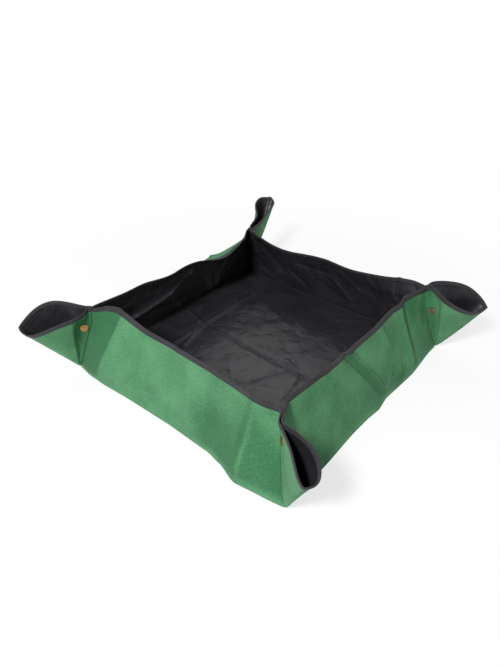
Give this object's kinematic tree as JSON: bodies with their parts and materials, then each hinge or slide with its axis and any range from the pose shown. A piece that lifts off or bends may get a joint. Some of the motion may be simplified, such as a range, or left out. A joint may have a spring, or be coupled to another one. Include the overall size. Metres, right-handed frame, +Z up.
{
  "type": "potting soil tray",
  "caption": "Square fabric potting tray that lies flat as a mat and folds up into low walls, with pinched corners held by press studs.",
  "frame": {"origin": "centre of the tray floor's underside, on the surface that the tray stands on", "axes": "+Z up, X and Y square to the wall folds; the pictured front corner is at -X -Y"},
  "size_m": [0.5977, 0.5871, 0.1243],
  "materials": {
    "outer": "woven, matt",
    "liner": "coated, satin",
    "binding": "woven tape",
    "cap": "satin",
    "socket": "satin",
    "stud": "antique",
    "eyelet": "antique"
  },
  "bodies": {
    "base": {"base_outer": "outer", "base_liner": "liner"},
    "front_left": {"front_left_outer": "outer", "front_left_liner": "liner", "front_left_binding": "binding"},
    "front_right": {"front_right_outer": "outer", "front_right_liner": "liner", "front_right_binding": "binding"},
    "back_right": {"back_right_outer": "outer", "back_right_liner": "liner", "back_right_binding": "binding"},
    "back_left": {"back_left_outer": "outer", "back_left_liner": "liner", "back_left_binding": "binding"},
    "left_ear_fl": {"left_ear_fl_outer": "outer", "left_ear_fl_liner": "liner", "left_ear_fl_binding": "binding", "left_cap": "cap", "left_socket": "socket"},
    "left_ear_bl": {"left_ear_bl_outer": "outer", "left_ear_bl_liner": "liner", "left_ear_bl_binding": "binding", "left_stud": "stud", "left_eyelet": "eyelet"},
    "front_ear_fr": {"front_ear_fr_outer": "outer", "front_ear_fr_liner": "liner", "front_ear_fr_binding": "binding", "front_stud": "stud", "front_eyelet": "eyelet"},
    "front_ear_fl": {"front_ear_fl_outer": "outer", "front_ear_fl_liner": "liner", "front_ear_fl_binding": "binding", "front_cap": "cap", "front_socket": "socket"},
    "right_ear_br": {"right_ear_br_outer": "outer", "right_ear_br_liner": "liner", "right_ear_br_binding": "binding", "right_cap": "cap", "right_socket": "socket"},
    "right_ear_fr": {"right_ear_fr_outer": "outer", "right_ear_fr_liner": "liner", "right_ear_fr_binding": "binding", "right_stud": "stud", "right_eyelet": "eyelet"},
    "back_ear_bl": {"back_ear_bl_outer": "outer", "back_ear_bl_liner": "liner", "back_ear_bl_binding": "binding", "back_stud": "stud", "back_eyelet": "eyelet"},
    "back_ear_br": {"back_ear_br_outer": "outer", "back_ear_br_liner": "liner", "back_ear_br_binding": "binding", "back_cap": "cap", "back_socket": "socket"}
  },
  "joints": [
    {"name": "front_left_unfold", "type": "hinge", "parent": "base", "child": "front_left", "pos_m": [-0.22, 0, 0.0005], "axis": [0, -1, 0], "range_deg": [0, 104.48]},
    {"name": "front_right_unfold", "type": "hinge", "parent": "base", "child": "front_right", "pos_m": [0, -0.22, 0.0005], "axis": [1, 0, 0], "range_deg": [0, 104.48]},
    {"name": "back_right_unfold", "type": "hinge", "parent": "base", "child": "back_right", "pos_m": [0.22, 0, 0.0005], "axis": [0, 1, 0], "range_deg": [0, 104.48]},
    {"name": "back_left_unfold", "type": "hinge", "parent": "base", "child": "back_left", "pos_m": [0, 0.22, 0.0005], "axis": [-1, 0, 0], "range_deg": [0, 104.48]},
    {"name": "left_ear_fl_open", "type": "hinge", "parent": "front_left", "child": "left_ear_fl", "pos_m": [-0.22015, 0.21753, -0.0001], "axis": [-0.2425, 0.2425, -0.9393], "range_deg": [0, 51.8], "deforming": ["left_ear_fl_outer", "left_ear_fl_liner", "left_ear_fl_binding"]},
    {"name": "left_ear_bl_open", "type": "hinge", "parent": "back_left", "child": "left_ear_bl", "pos_m": [-0.21709, 0.22018, -0.0002], "axis": [0.2425, -0.2425, 0.9393], "range_deg": [0, 41.8], "deforming": ["left_ear_bl_outer", "left_ear_bl_liner", "left_ear_bl_binding"]},
    {"name": "front_ear_fr_open", "type": "hinge", "parent": "front_right", "child": "front_ear_fr", "pos_m": [-0.21763, -0.22015, -0.00007], "axis": [-0.2425, -0.2425, -0.9393], "range_deg": [0, 54.8], "deforming": ["front_ear_fr_outer", "front_ear_fr_liner", "front_ear_fr_binding"]},
    {"name": "front_ear_fl_open", "type": "hinge", "parent": "front_left", "child": "front_ear_fl", "pos_m": [-0.22019, -0.2169, -0.00025], "axis": [0.2425, 0.2425, 0.9393], "range_deg": [0, 38.8], "deforming": ["front_ear_fl_outer", "front_ear_fl_liner", "front_ear_fl_binding"]},
    {"name": "right_ear_br_open", "type": "hinge", "parent": "back_right", "child": "right_ear_br", "pos_m": [0.22029, -0.21537, -0.00062], "axis": [0.2425, -0.2425, -0.9393], "range_deg": [0, 24.8], "deforming": ["right_ear_br_outer", "right_ear_br_liner", "right_ear_br_binding"]},
    {"name": "right_ear_fr_open", "type": "hinge", "parent": "front_right", "child": "right_ear_fr", "pos_m": [0.21792, -0.22013, 0], "axis": [-0.2425, 0.2425, 0.9393], "range_deg": [0, 68.8], "deforming": ["right_ear_fr_outer", "right_ear_fr_liner", "right_ear_fr_binding"]},
    {"name": "back_ear_bl_open", "type": "hinge", "parent": "back_left", "child": "back_ear_bl", "pos_m": [0.21569, 0.22027, -0.00054], "axis": [0.2425, 0.2425, -0.9393], "range_deg": [0, 26.8], "deforming": ["back_ear_bl_outer", "back_ear_bl_liner", "back_ear_bl_binding"]},
    {"name": "back_ear_br_open", "type": "hinge", "parent": "back_right", "child": "back_ear_br", "pos_m": [0.22013, 0.21789, -0.00001], "axis": [-0.2425, -0.2425, 0.9393], "range_deg": [0, 66.8], "deforming": ["back_ear_br_outer", "back_ear_br_liner", "back_ear_br_binding"]}
  ],
  "couplings": [
    {"joint": "front_right_unfold", "follows": "front_left_unfold", "ratio": 1},
    {"joint": "back_right_unfold", "follows": "front_left_unfold", "ratio": 1},
    {"joint": "back_left_unfold", "follows": "front_left_unfold", "ratio": 1},
    {"joint": "left_ear_fl_open", "follows": "front_left_unfold", "ratio": 0.49572},
    {"joint": "left_ear_bl_open", "follows": "front_left_unfold", "ratio": 0.40001},
    {"joint": "front_ear_fr_open", "follows": "front_left_unfold", "ratio": 0.52443},
    {"joint": "front_ear_fl_open", "follows": "front_left_unfold", "ratio": 0.37129},
    {"joint": "right_ear_br_open", "follows": "front_left_unfold", "ratio": 0.23729},
    {"joint": "right_ear_fr_open", "follows": "front_left_unfold", "ratio": 0.65843},
    {"joint": "back_ear_bl_open", "follows": "front_left_unfold", "ratio": 0.25644},
    {"joint": "back_ear_br_open", "follows": "front_left_unfold", "ratio": 0.63929}
  ]
}
